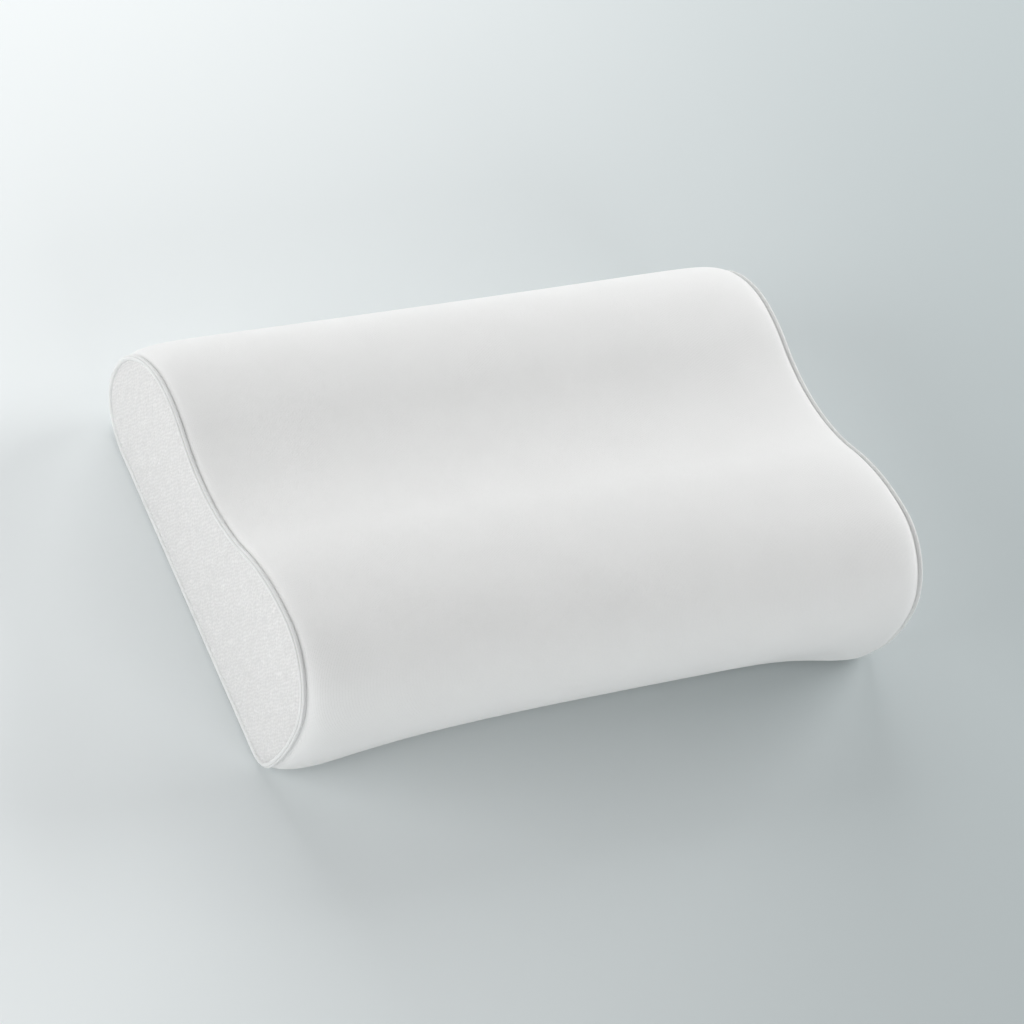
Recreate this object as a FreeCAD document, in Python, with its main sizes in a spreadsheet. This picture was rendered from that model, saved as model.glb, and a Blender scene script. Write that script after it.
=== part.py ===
"""Contour bed pillow: a moulded foam core in a liner, inside a piped cover closed by a coil zip.

X runs along the pillow's length, Y from the high front lobe to the low rear lobe, and Z up.
The origin is on the resting face, below the middle of the whole pillow.
"""
import FreeCAD, Part
import math
import os
import Sketcher

Vector = FreeCAD.Vector
Rotation = FreeCAD.Rotation
Placement = FreeCAD.Placement
Constraint = Sketcher.Constraint

# Driving dimensions in millimetres. An inset is a distance inwards from the cover's outer outline.
SIZES = [
    # the outline of the cover, seen from the end
    ("depth", 355.0),
    ("front_height", 133.0),
    ("valley_height", 98.0),
    ("rear_height", 107.4),
    ("nose_radius", 55.0),
    ("front_toe_radius", 24.0),
    ("front_toe_reach", 35.5),
    ("valley_radius", 165.0),
    ("valley_reach", 203.0),
    ("rear_crest_reach", 77.0),
    ("tail_height", 38.0),
    ("tail_upper_radius", 62.0),
    ("tail_lower_radius", 34.0),
    ("rear_toe_reach", 45.5),
    # along the pillow
    ("seam_length", 500.0),
    ("panel_length", 494.8),
    ("liner_length", 496.4),
    ("core_length", 495.0),
    ("end_panel_offset", 249.0),
    ("end_panel_thickness", 2.5),
    ("liner_end_offset", 247.7),
    ("seam_thread_offset", 247.1),
    # layers
    ("panel_thickness", 2.0),
    ("tape_inset", 2.1),
    ("tape_back_inset", 2.6),
    ("seam_thread_inset", 3.6),
    ("seam_thread_radius", 0.3),
    ("liner_inset", 4.4),
    ("liner_back_inset", 4.9),
    ("end_inset", 5.0),
    ("core_inset", 5.1),
    ("piping_radius", 2.4),
    ("piping_bore_radius", 1.65),
    ("piping_cord_radius", 1.5),
    # the zip, along the tail; its rise and drop are measured outwards from the tail
    ("zip_length", 420.0),
    ("zip_slot_length", 408.0),
    ("zip_slot_width", 10.4),
    ("tape_gap", 1.6),
    ("tape_width", 12.5),
    ("coil_width", 2.85),
    ("coil_gap", 0.1),
    ("coil_drop", 2.0),
    ("coil_thickness", 1.75),
    ("stop_reach", 200.0),
    ("slider_place", 190.0),
    ("slider_length", 12.0),
    ("slider_rise", 3.35),
    ("pivot_rise", 2.1),
    ("topstitch_offset", 8.6),
    ("topstitch_length", 412.0),
    ("thread_size", 0.4),
    ("label_place", 150.0),
    ("label_width", 25.0),
    ("label_drop", 28.0),
]

doc = FreeCAD.newDocument("contour_pillow")
sheet = doc.addObject("Spreadsheet::Sheet", "Sizes")
for row, (name, value) in enumerate(SIZES, start=1):
    sheet.set("A%d" % row, name)
    sheet.set("B%d" % row, str(value))
    sheet.setAlias("B%d" % row, name)
size = dict(SIZES)
doc.recompute()

nodes = []


def keep(piece, label):
    """Give a finished sub-part its name and put it on the list of pieces to write."""
    piece.Label = label
    nodes.append(piece)
    return piece


def bind(piece, **expressions):
    """Bind a piece's sizes, or its place along an axis, to the sheet."""
    for target, expression in expressions.items():
        path = {"x": ".Placement.Base.x", "y": ".Placement.Base.y", "z": ".Placement.Base.z"}
        piece.setExpression(path.get(target, target), expression)


# ---------------------------------------------------------------------------
# The end outline: a flat base and ten tangent arcs, drawn from the nose backwards
# ---------------------------------------------------------------------------
NOSE_Y = "-(Sizes.depth + Sizes.slider_rise) / 2"
TAIL_Y = "(Sizes.depth - Sizes.slider_rise) / 2"
nose_y = -(size["depth"] + size["slider_rise"]) / 2
tail_y = nose_y + size["depth"]


def unit(start, end):
    """Direction from one point to another."""
    return (end - start).normalize()


def outline_arcs():
    """Centres and radii of the ten arcs, in order from the rear toe round the top to the front toe."""
    nose_r = size["nose_radius"]
    nose_z = size["front_height"] - nose_r
    tail_z = size["tail_height"]
    valley_r = size["valley_radius"]
    valley_y = size["valley_reach"]
    crest_y = size["depth"] - size["rear_crest_reach"]
    tail_r = size["tail_upper_radius"]
    low_r = size["tail_lower_radius"]
    toe_r = size["front_toe_radius"]
    toe_y = size["front_toe_reach"]
    heel_y = size["depth"] - size["rear_toe_reach"]

    def crest_radius(run, drop):
        """Radius of a crest that turns smoothly into the valley, run away and drop below."""
        return (run * run + drop * drop) / (2 * drop) - valley_r

    front_r = crest_radius(valley_y - nose_r, size["front_height"] - size["valley_height"])
    rear_r = crest_radius(crest_y - valley_y, size["rear_height"] - size["valley_height"])
    rise = size["rear_height"] - tail_z
    run = size["rear_crest_reach"] - tail_r
    slope_r = (rise * rise + run * run - tail_r * tail_r) / (2 * (rise - tail_r))
    run = size["rear_toe_reach"] - low_r
    heel_r = (run * run + tail_z * tail_z - low_r * low_r) / (2 * (tail_z - low_r))
    face_r = ((nose_z - toe_r) ** 2 + toe_y * toe_y - toe_r * toe_r) / (2 * (toe_y - toe_r))
    return [
        ("heel", heel_y, heel_r, heel_r),
        ("tail_lower", size["depth"] - low_r, tail_z, low_r),
        ("tail_upper", size["depth"] - tail_r, tail_z, tail_r),
        ("rear_slope", crest_y, size["rear_height"] - slope_r, slope_r),
        ("rear_crest", crest_y, size["rear_height"] - rear_r, rear_r),
        ("valley", valley_y, size["valley_height"] + valley_r, -valley_r),
        ("front_crest", nose_r, size["front_height"] - front_r, front_r),
        ("nose", nose_r, nose_z, nose_r),
        ("front_face", face_r, nose_z, face_r),
        ("front_toe", toe_y, toe_r, toe_r),
    ]


def joint_between(first, second):
    """The point where two tangent arcs meet. A hollow arc has a negative radius."""
    a = Vector(first[1], first[2], 0)
    b = Vector(second[1], second[2], 0)
    if first[3] * second[3] < 0:
        return a + unit(a, b) * abs(first[3])
    if first[3] > second[3]:
        return a + unit(a, b) * first[3]
    return b + unit(b, a) * second[3]


def draw_outline(name):
    """A closed sketch of the outline in the YZ plane, tangent at every joint."""
    sketch = doc.addObject("Sketcher::SketchObject", name)
    sketch.Placement = Placement(Vector(0, nose_y, 0), Rotation(Vector(1, 1, 1), 120))
    bind(sketch, y=NOSE_Y)
    arcs = outline_arcs()
    front = Vector(arcs[-1][1], 0, 0)
    back = Vector(arcs[0][1], 0, 0)
    points = [back] + [joint_between(a, b) for a, b in zip(arcs, arcs[1:])] + [front]
    base = sketch.addGeometry(Part.LineSegment(front, back), False)
    index = {}
    ends = {}
    for arc, start, end in zip(arcs, points, points[1:]):
        centre = Vector(arc[1], arc[2], 0)
        hollow = arc[3] < 0
        first, last = (end, start) if hollow else (start, end)
        turn_in = math.atan2(first.y - centre.y, first.x - centre.x)
        turn_out = math.atan2(last.y - centre.y, last.x - centre.x)
        circle = Part.Circle(centre, Vector(0, 0, 1), abs(arc[3]))
        index[arc[0]] = sketch.addGeometry(Part.ArcOfCircle(circle, turn_in, turn_out), False)
        ends[arc[0]] = (2, 1) if hollow else (1, 2)
    names = [arc[0] for arc in arcs]
    for a, b in zip(names, names[1:]):
        sketch.addConstraint(Constraint("Tangent", index[a], ends[a][1], index[b], ends[b][0]))
    sketch.addConstraint(Constraint("Tangent", base, 2, index["heel"], 1))
    sketch.addConstraint(Constraint("Tangent", index["front_toe"], 2, base, 1))
    sketch.addConstraint(Constraint("PointOnObject", base, 1, -1))
    sketch.addConstraint(Constraint("Horizontal", base))
    for a, b in (("front_face", "nose"), ("tail_lower", "tail_upper")):
        sketch.addConstraint(Constraint("Horizontal", index[a], 3, index[b], 3))
    for a, b in (("front_crest", "nose"), ("rear_slope", "rear_crest")):
        sketch.addConstraint(Constraint("Vertical", index[a], 3, index[b], 3))

    def dimension(kind, arc, expression, point=3):
        """A radius, or a distance from the sketch's origin to a centre or an end, from the sheet."""
        value = eval_size(expression)
        if kind == "Radius":
            number = sketch.addConstraint(Constraint(kind, index[arc], value))
        else:
            number = sketch.addConstraint(Constraint(kind, -1, 1, index[arc], point, value))
        sketch.setExpression("Constraints[%d]" % number, expression)

    dimension("Radius", "front_toe", "Sizes.front_toe_radius")
    dimension("DistanceX", "front_toe", "Sizes.front_toe_reach")
    dimension("Radius", "nose", "Sizes.nose_radius")
    dimension("DistanceX", "nose", "Sizes.nose_radius")
    dimension("DistanceY", "nose", "Sizes.front_height - Sizes.nose_radius")
    dimension("Radius", "valley", "Sizes.valley_radius")
    dimension("DistanceX", "valley", "Sizes.valley_reach")
    dimension("DistanceY", "valley", "Sizes.valley_height + Sizes.valley_radius")
    dimension("DistanceX", "rear_crest", "Sizes.depth - Sizes.rear_crest_reach")
    dimension("DistanceY", "rear_crest", "Sizes.rear_height", point=1)
    dimension("Radius", "tail_upper", "Sizes.tail_upper_radius")
    dimension("DistanceX", "tail_upper", "Sizes.depth - Sizes.tail_upper_radius")
    dimension("DistanceY", "tail_upper", "Sizes.tail_height")
    dimension("Radius", "tail_lower", "Sizes.tail_lower_radius")
    dimension("DistanceX", "heel", "Sizes.depth - Sizes.rear_toe_reach")
    return sketch


def eval_size(expression):
    """The value of a sum of named sizes, such as 'Sizes.depth - Sizes.tail_height'."""
    total = 0.0
    sign = 1
    for word in expression.split():
        if word in "+-":
            sign = 1 if word == "+" else -1
        else:
            total += sign * size[word.replace("Sizes.", "")]
    return total


outline = draw_outline("outline")
doc.recompute()


def inset_outline(alias):
    """The outline moved inwards by a sheet distance, each arc about its own centre."""
    ring = doc.addObject("Part::Offset2D", "outline_" + alias)
    ring.Source = outline
    ring.Join = "Arc"
    bind(ring, Value="-Sizes." + alias)
    return ring


def prism(name, ring, length):
    """A solid of the outline's shape, centred on the pillow's middle, with its length from the sheet."""
    solid = doc.addObject("Part::Extrusion", name)
    solid.Base = ring
    solid.DirMode = "Custom"
    solid.Dir = Vector(1, 0, 0)
    solid.Solid = True
    solid.Symmetric = True
    bind(solid, LengthFwd=length)
    return solid


def cut(name, base, tool):
    """A piece with another taken out of it."""
    piece = doc.addObject("Part::Cut", name)
    piece.Base = base
    piece.Tool = tool
    return piece


def common(name, base, tool):
    """What two solids share."""
    piece = doc.addObject("Part::Common", name)
    piece.Base = base
    piece.Tool = tool
    return piece


def box(name, length, width, height, x, y, z):
    """A box from sheet expressions: its three sides, then the place of its lowest corner."""
    block = doc.addObject("Part::Box", name)
    bind(block, Length=length, Width=width, Height=height, x=x, y=y, z=z)
    return block


SIDES = (("left", "-"), ("right", ""))

rings = {"outer": outline}
for alias in ("panel_thickness", "tape_inset", "tape_back_inset", "liner_inset", "liner_back_inset",
              "end_inset", "core_inset", "piping_radius", "seam_thread_inset"):
    rings[alias] = inset_outline(alias)
doc.recompute()

# ---------------------------------------------------------------------------
# Foam core and its liner
# ---------------------------------------------------------------------------
keep(prism("core", rings["core_inset"], "Sizes.core_length"), "foam_core")

liner_outer = prism("liner_outer", rings["liner_inset"], "Sizes.liner_length")
liner_hollow = prism("liner_hollow", rings["liner_back_inset"], "Sizes.liner_length")
keep(cut("liner", liner_outer, liner_hollow), "liner_wrap")

for side, sign in SIDES:
    end = prism("liner_end_" + side, rings["end_inset"],
                "(Sizes.liner_length / 2 - Sizes.liner_end_offset)")
    bind(end, x="%s(Sizes.liner_length / 2 + Sizes.liner_end_offset) / 2" % sign)
    keep(end, "liner_end_" + side)

# ---------------------------------------------------------------------------
# Cover: one panel wrapped round from the zip's upper edge to its lower edge, and two mesh ends
# ---------------------------------------------------------------------------
SLOT_DEPTH = 4
panel_outer = prism("panel_outer", outline, "Sizes.panel_length")
panel_hollow = prism("panel_hollow", rings["panel_thickness"], "Sizes.panel_length")
panel_tube = cut("panel_tube", panel_outer, panel_hollow)
zip_slot = box("zip_slot", "Sizes.zip_slot_length", "%d" % (2 * SLOT_DEPTH), "Sizes.zip_slot_width",
               "-Sizes.zip_slot_length / 2", TAIL_Y + " - %d" % SLOT_DEPTH,
               "Sizes.tail_height - Sizes.zip_slot_width / 2")
keep(cut("panel", panel_tube, zip_slot), "cover_wrap_panel")

for side, sign in SIDES:
    end = prism("cover_end_" + side, rings["end_inset"], "Sizes.end_panel_thickness")
    bind(end, x="%s(Sizes.end_panel_offset + Sizes.end_panel_thickness / 2)" % sign)
    keep(end, "cover_end_" + side)


# ---------------------------------------------------------------------------
# Piping: a fabric sleeve round a filler cord, sewn into each end seam by a row of thread
# ---------------------------------------------------------------------------
def round_section(name, alias, inset_alias):
    """A circle across the start of an inset outline's base line."""
    section = doc.addObject("Part::Circle", name)
    section.Placement = Placement(Vector(0, 0, 0), Rotation(Vector(1, 0, 0), 90))
    bind(section, Radius="Sizes." + alias, y=NOSE_Y + " + Sizes.front_toe_reach",
         z="Sizes." + inset_alias)
    return section


def hoop(name, alias, inset_alias, sign, offset):
    """A round cord that follows the inset outline all the way round, at one end of the pillow."""
    ring = rings[inset_alias]
    sweep = doc.addObject("Part::Sweep", name)
    sweep.Sections = [round_section(name + "_section", alias, inset_alias)]
    sweep.Spine = (ring, ["Edge%d" % (i + 1) for i in range(len(ring.Shape.Edges))])
    sweep.Solid = True
    sweep.Transition = "Right corner"
    bind(sweep, x="%s(%s)" % (sign, offset))
    return sweep


for side, sign in SIDES:
    at_seam = "Sizes.seam_length / 2"
    sleeve = hoop("sleeve_" + side, "piping_radius", "piping_radius", sign, at_seam)
    bore = hoop("sleeve_bore_" + side, "piping_bore_radius", "piping_radius", sign, at_seam)
    keep(cut("piping_" + side, sleeve, bore), "piping_sleeve_" + side)
    keep(hoop("cord_" + side, "piping_cord_radius", "piping_radius", sign, at_seam),
         "piping_cord_" + side)
    keep(hoop("thread_" + side, "seam_thread_radius", "seam_thread_inset", sign,
              "Sizes.seam_thread_offset"), "seam_thread_" + side)

# ---------------------------------------------------------------------------
# Zip tapes, coils and the stitching that holds them
# ---------------------------------------------------------------------------
tape_outer = prism("tape_outer", rings["tape_inset"], "Sizes.zip_length")
tape_hollow = prism("tape_hollow", rings["tape_back_inset"], "Sizes.zip_length")
tape_tube = cut("tape_tube", tape_outer, tape_hollow)

# each edge: its name, and where its tape and its coil start above the tail's height
EDGES = (
    ("upper", "Sizes.tape_gap / 2", "Sizes.coil_gap / 2"),
    ("lower", "-Sizes.tape_gap / 2 - Sizes.tape_width", "-Sizes.coil_gap / 2 - Sizes.coil_width"),
)
TAPE_ROOM = 12
POST_START = 1.0
COIL_RELIEF = 0.3
STOP_LENGTH = 4.0

for edge, tape_start, coil_start in EDGES:
    strip = box("tape_strip_" + edge, "Sizes.zip_length", "%d" % (2 * TAPE_ROOM), "Sizes.tape_width",
                "-Sizes.zip_length / 2", TAIL_Y + " - %d" % TAPE_ROOM,
                "Sizes.tail_height + (%s)" % tape_start)
    keep(common("tape_" + edge, tape_tube, strip), "zip_tape_" + edge)
    coil_from = "-Sizes.stop_reach + %s" % (STOP_LENGTH + COIL_RELIEF)
    coil_to = "Sizes.slider_place + %s" % (POST_START - COIL_RELIEF)
    coil = box("coil_" + edge, "(%s) - (%s)" % (coil_to, coil_from), "Sizes.coil_thickness",
               "Sizes.coil_width", coil_from, TAIL_Y + " - Sizes.coil_drop",
               "Sizes.tail_height + (%s)" % coil_start)
    keep(coil, "zip_coil_" + edge)

# each row of stitching: its edge, where it starts above the tail's height, and the panel's radius there
STITCHES = (
    ("upper", "Sizes.topstitch_offset", "Sizes.tail_upper_radius"),
    ("lower", "-Sizes.topstitch_offset - Sizes.thread_size", "Sizes.tail_lower_radius"),
)
STITCH_PROUD = 0.1
for edge, stitch_start, radius in STITCHES:
    # the panel has fallen away from the tail's height by its arc's sagitta here
    sink = "(Sizes.topstitch_offset ^ 2 / (2 * %s))" % radius
    row = box("topstitch_" + edge, "Sizes.topstitch_length", "Sizes.thread_size", "Sizes.thread_size",
              "-Sizes.topstitch_length / 2", "%s - %s + %s" % (TAIL_Y, sink, STITCH_PROUD),
              "Sizes.tail_height + (%s)" % stitch_start)
    keep(row, "zip_topstitch_" + edge)

TACK_WIDTH = 2.2
TACK_HEIGHT = 12.0
TACK_THICKNESS = 0.6
TACK_REACH = 205.2
TACK_PROUD = 0.1
for side, tack_x in (("left", -TACK_REACH - TACK_WIDTH), ("right", TACK_REACH)):
    tack = box("bartack_" + side, "%s" % TACK_WIDTH, "%s" % TACK_THICKNESS, "%s" % TACK_HEIGHT,
               "%.1f" % tack_x, TAIL_Y + " + %s" % TACK_PROUD,
               "Sizes.tail_height - %s" % (TACK_HEIGHT / 2))
    keep(tack, "zip_bartack_" + side)

# ---------------------------------------------------------------------------
# Zip stops: metal clips that pinch the tapes, two at the closed end and one across the open end
# ---------------------------------------------------------------------------
STOP_RISE = 0.3
STOP_DROP = 3.3
STOP_HALF = 3.2
TOP_STOP_LENGTH = 3.0
WEB_HALF = 0.65
SLOT_FACE = 2.05
SLOT_BACK = 2.8


def stop(name, length, low_z, high_z, grooves):
    """A clip of two plates and a web, with a groove for each tape it pinches."""
    body = doc.addObject("PartDesign::Body", name)
    bind(body, y=TAIL_Y, z="Sizes.tail_height")
    sketch = body.newObject("Sketcher::SketchObject", name + "_section")
    sketch.AttachmentSupport = [(origin_plane(body, "YZ_Plane"), "")]
    sketch.MapMode = "FlatFace"
    corners = [(-STOP_DROP, low_z), (STOP_RISE, low_z), (STOP_RISE, high_z), (-STOP_DROP, high_z)]
    draw_polygon(sketch, clip_corners(corners, grooves))
    pad = body.newObject("PartDesign::Pad", name + "_pad")
    pad.Profile = sketch
    pad.Length = length
    doc.recompute()
    return body


def clip_corners(corners, grooves):
    """Add the grooves for the tapes to the four corners of a clip's section."""
    (back, low), (face, _), _, (_, high) = corners
    points = [(back, low)]
    if "lower" in grooves:
        points += [(-SLOT_BACK, low), (-SLOT_BACK, -WEB_HALF), (-SLOT_FACE, -WEB_HALF), (-SLOT_FACE, low)]
    points += [(face, low), (face, high)]
    if "upper" in grooves:
        points += [(-SLOT_FACE, high), (-SLOT_FACE, WEB_HALF), (-SLOT_BACK, WEB_HALF), (-SLOT_BACK, high)]
    points += [(back, high)]
    return points


def origin_plane(body, role):
    """One of a body's own origin planes."""
    return next(o for o in body.Origin.OriginFeatures if o.Role == role)


def draw_polygon(sketch, points):
    """A closed chain of lines through the points, joined end to end and held in place."""
    for i, (u, v) in enumerate(points):
        a = Vector(u, v, 0)
        b = Vector(*points[(i + 1) % len(points)], 0)
        line = sketch.addGeometry(Part.LineSegment(a, b), False)
        if i:
            sketch.addConstraint(Constraint("Coincident", line - 1, 2, line, 1))
        sketch.addConstraint(Constraint("Block", line))


bottom_stop = stop("bottom_stop", STOP_LENGTH, -STOP_HALF, STOP_HALF, ("upper", "lower"))
bind(bottom_stop, x="-Sizes.stop_reach")
keep(bottom_stop, "zip_bottom_stop")
STOP_BITE = 0.5
TOP_STOPS = (
    ("upper", WEB_HALF - STOP_BITE, STOP_HALF),
    ("lower", -STOP_HALF, -WEB_HALF + STOP_BITE),
)
for edge, low_z, high_z in TOP_STOPS:
    top_stop = stop("top_stop_" + edge, TOP_STOP_LENGTH, low_z, high_z, (edge,))
    bind(top_stop, x="Sizes.stop_reach - %s" % TOP_STOP_LENGTH)
    keep(top_stop, "zip_top_stop_" + edge)

# ---------------------------------------------------------------------------
# Zip slider: two wings with turned-in sides, joined by a post, and an eye for the pull tab
# ---------------------------------------------------------------------------
WING_TOP = 0.95
WING_BACK = -3.9
CHANNEL_TOP = 0.05
CHANNEL_BACK = -3.15
LIP_FACE = -1.75
CHANNEL_HALF = 3.15
THROAT_HALF = 3.9
SHOULDER_HALF = 4.4
POST_HALF = 0.55
POST_LENGTH = 2.6
EYE_HALF = 0.8
EYE_RADIUS = 1.25
EYE_FOOT = 2.4
PIN_BORE = 0.65
PIN_RADIUS = 0.58
RIM_RADIUS = 0.35
OVERRUN = 1
OVERLAP = 0.2
NEAR = 0.01


def sketch_on(body, name, role, offset=0.0):
    """A sketch on one of the body's planes, moved along the plane's normal."""
    sketch = body.newObject("Sketcher::SketchObject", name)
    sketch.AttachmentSupport = [(origin_plane(body, role), "")]
    sketch.MapMode = "FlatFace"
    sketch.AttachmentOffset = Placement(Vector(0, 0, offset), Rotation())
    return sketch


def pad_from(body, name, sketch, length, back=False):
    """A pad along the sketch's normal, or against it."""
    pad = body.newObject("PartDesign::Pad", name)
    pad.Profile = sketch
    pad.Length = length
    pad.Reversed = back
    doc.recompute()
    return pad


def soften(body, feature, name, radius, wanted):
    """Round the edges whose midpoints, in the body's own frame, pass a test."""
    edges = []
    for i, edge in enumerate(feature.Shape.Edges):
        if wanted(edge.CenterOfMass):
            edges.append("Edge%d" % (i + 1))
    fillet = body.newObject("PartDesign::Fillet", name)
    fillet.Base = (feature, edges)
    fillet.Radius = radius
    doc.recompute()


slider = doc.addObject("PartDesign::Body", "slider")
bind(slider, x="Sizes.slider_place", y=TAIL_Y, z="Sizes.tail_height")
half = size["slider_length"] / 2
plan = sketch_on(slider, "slider_plan", "XZ_Plane", -WING_BACK)
draw_polygon(plan, [
    (-half, -THROAT_HALF), (0, -THROAT_HALF), (half / 3, -SHOULDER_HALF), (half, -SHOULDER_HALF),
    (half, SHOULDER_HALF), (half / 3, SHOULDER_HALF), (0, THROAT_HALF), (-half, THROAT_HALF),
])
block = pad_from(slider, "slider_block", plan, WING_TOP - WING_BACK, back=True)

FAR = 10.0
channel = sketch_on(slider, "slider_channel", "YZ_Plane", -half - OVERRUN)
draw_polygon(channel, [
    (CHANNEL_BACK, -FAR), (LIP_FACE, -FAR), (LIP_FACE, -CHANNEL_HALF), (CHANNEL_TOP, -CHANNEL_HALF),
    (CHANNEL_TOP, CHANNEL_HALF), (LIP_FACE, CHANNEL_HALF), (LIP_FACE, FAR), (CHANNEL_BACK, FAR),
])
before = block.Shape.Volume
hollow = slider.newObject("PartDesign::Pocket", "slider_channel_cut")
hollow.Profile = channel
hollow.Length = 2 * (half + OVERRUN)
hollow.Reversed = True
doc.recompute()
assert hollow.Shape.Volume < 0.8 * before, "the slider's channel wasn't cut"

post_plan = sketch_on(slider, "slider_post_plan", "XZ_Plane", -CHANNEL_BACK + OVERLAP)
draw_polygon(post_plan, [
    (POST_START, -POST_HALF / 2), (POST_START + POST_LENGTH, -POST_HALF),
    (POST_START + POST_LENGTH, POST_HALF), (POST_START, POST_HALF / 2),
])
pad_from(slider, "slider_post", post_plan, CHANNEL_TOP - CHANNEL_BACK + 2 * OVERLAP, back=True)

eye_plan = sketch_on(slider, "slider_eye_plan", "XY_Plane", -EYE_HALF)
pivot = size["pivot_rise"]
foot = WING_TOP - OVERLAP
side_a = eye_plan.addGeometry(Part.LineSegment(Vector(-EYE_RADIUS, pivot, 0), Vector(-EYE_FOOT, foot, 0)))
floor = eye_plan.addGeometry(Part.LineSegment(Vector(-EYE_FOOT, foot, 0), Vector(EYE_FOOT, foot, 0)))
side_b = eye_plan.addGeometry(Part.LineSegment(Vector(EYE_FOOT, foot, 0), Vector(EYE_RADIUS, pivot, 0)))
crown = eye_plan.addGeometry(Part.ArcOfCircle(
    Part.Circle(Vector(0, pivot, 0), Vector(0, 0, 1), EYE_RADIUS), 0, math.pi))
bore = eye_plan.addGeometry(Part.Circle(Vector(0, pivot, 0), Vector(0, 0, 1), PIN_BORE))
eye_plan.addConstraint(Constraint("Coincident", side_a, 2, floor, 1))
eye_plan.addConstraint(Constraint("Coincident", floor, 2, side_b, 1))
eye_plan.addConstraint(Constraint("Coincident", side_b, 2, crown, 1))
eye_plan.addConstraint(Constraint("Coincident", crown, 2, side_a, 1))
eye_plan.addConstraint(Constraint("Radius", crown, EYE_RADIUS))
eye_plan.addConstraint(Constraint("Radius", bore, PIN_BORE))
for arc in (crown, bore):
    rise = eye_plan.addConstraint(Constraint("DistanceY", -1, 1, arc, 3, pivot))
    eye_plan.setExpression("Constraints[%d]" % rise, "Sizes.pivot_rise")
eye = pad_from(slider, "slider_eye", eye_plan, 2 * EYE_HALF)

soften(slider, eye, "slider_rim", RIM_RADIUS, lambda middle: (
    abs(middle.y - WING_TOP) < NEAR
    and (abs(middle.z) > EYE_HALF + NEAR or abs(abs(middle.x) - half) < NEAR)))
keep(slider, "zip_slider_body")

# ---------------------------------------------------------------------------
# Pull tab: a flat tongue with a forked root, hinged on a pin through the slider's eye
# ---------------------------------------------------------------------------
TAB_HALF_THICKNESS = 0.6
FORK_GAP = 1.1
FORK_HALF = 2.3
FORK_DEPTH = 3.6
TAB_HALF = 3.1
TAB_LENGTH = 27.0
ROOT_REACH = 0.6
PIN_SEAT = 0.3
CORD_HOLE = 1.2
CORD_HOLE_INSET = 3.4
TIP_RADIUS = 2.2

tab = doc.addObject("PartDesign::Body", "tab")
bind(tab, x="Sizes.slider_place", y=TAIL_Y + " + Sizes.pivot_rise", z="Sizes.tail_height")
tongue_plan = sketch_on(tab, "tab_plan", "XZ_Plane", -TAB_HALF_THICKNESS)
draw_polygon(tongue_plan, [
    (ROOT_REACH, -FORK_HALF), (ROOT_REACH, -FORK_GAP),
    (-FORK_DEPTH, -FORK_GAP), (-FORK_DEPTH, FORK_GAP),
    (ROOT_REACH, FORK_GAP), (ROOT_REACH, FORK_HALF),
    (-FORK_DEPTH - 1, FORK_HALF), (-TAB_LENGTH / 2, TAB_HALF),
    (-TAB_LENGTH, TAB_HALF), (-TAB_LENGTH, -TAB_HALF), (-TAB_LENGTH / 2, -TAB_HALF),
    (-FORK_DEPTH - 1, -FORK_HALF),
])
hole_centre = Vector(-TAB_LENGTH + CORD_HOLE_INSET, 0, 0)
tongue_plan.addGeometry(Part.Circle(hole_centre, Vector(0, 0, 1), CORD_HOLE))
pad_from(tab, "tab_tongue", tongue_plan, 2 * TAB_HALF_THICKNESS)

pin_plan = sketch_on(tab, "tab_pin_plan", "XY_Plane", -FORK_GAP - PIN_SEAT)
pin = pin_plan.addGeometry(Part.Circle(Vector(0, 0, 0), Vector(0, 0, 1), PIN_RADIUS))
pin_plan.addConstraint(Constraint("Coincident", pin, 3, -1, 1))
pin_plan.addConstraint(Constraint("Radius", pin, PIN_RADIUS))
pin_pad = pad_from(tab, "tab_pin", pin_plan, 2 * (FORK_GAP + PIN_SEAT))

soften(tab, pin_pad, "tab_tip", TIP_RADIUS, lambda middle: (
    abs(middle.x + TAB_LENGTH) < NEAR and abs(abs(middle.z) - TAB_HALF) < NEAR))
keep(tab, "zip_pull_tab")

# ---------------------------------------------------------------------------
# Care label: a blank tape sewn in below the zip, hanging down behind the tail
# ---------------------------------------------------------------------------
LABEL_TOP = 6.0
LABEL_THICKNESS = 0.3
LABEL_CLEARANCE = 0.15
label = box("label", "Sizes.label_width", "%s" % LABEL_THICKNESS, "Sizes.label_drop",
            "Sizes.label_place - Sizes.label_width / 2", TAIL_Y + " + %s" % LABEL_CLEARANCE,
            "Sizes.tail_height - %s - Sizes.label_drop" % LABEL_TOP)
keep(label, "care_label")

# ---------------------------------------------------------------------------
# Check every object, then write each sub-part
# ---------------------------------------------------------------------------
doc.recompute()
for item in doc.Objects:
    assert not {"Invalid", "Error"} & set(item.State), "%s failed: %s" % (item.Label, item.State)
for piece in nodes:
    shape = piece.Shape
    assert not shape.isNull() and shape.isValid(), piece.Label + " is not a valid shape"
    print("%-24s solids %d  volume %10.1f mm3  box %s" % (
        piece.Label, len(shape.Solids), shape.Volume,
        " ".join("%.2f..%.2f" % pair for pair in (
            (shape.BoundBox.XMin, shape.BoundBox.XMax), (shape.BoundBox.YMin, shape.BoundBox.YMax),
            (shape.BoundBox.ZMin, shape.BoundBox.ZMax)))))

os.makedirs("parts", exist_ok=True)
for piece in nodes:
    piece.Shape.exportStep("parts/%s.step" % piece.Label)
print(len(nodes), "pieces written")
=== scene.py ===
# %% [markdown]
# # A contour bed pillow
# The pillow is a moulded foam core in a thin liner, inside a removable cover. The cover is one long
# knitted panel wrapped round from the zip and back to it, two mesh ends, and a piped seam at each end.
# The CAD model gives every size and place. This lesson gives the pieces their real surfaces:
# cloth that swells between its seams, a dimpled mesh, piping with stitches, and a coil zip.

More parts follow.
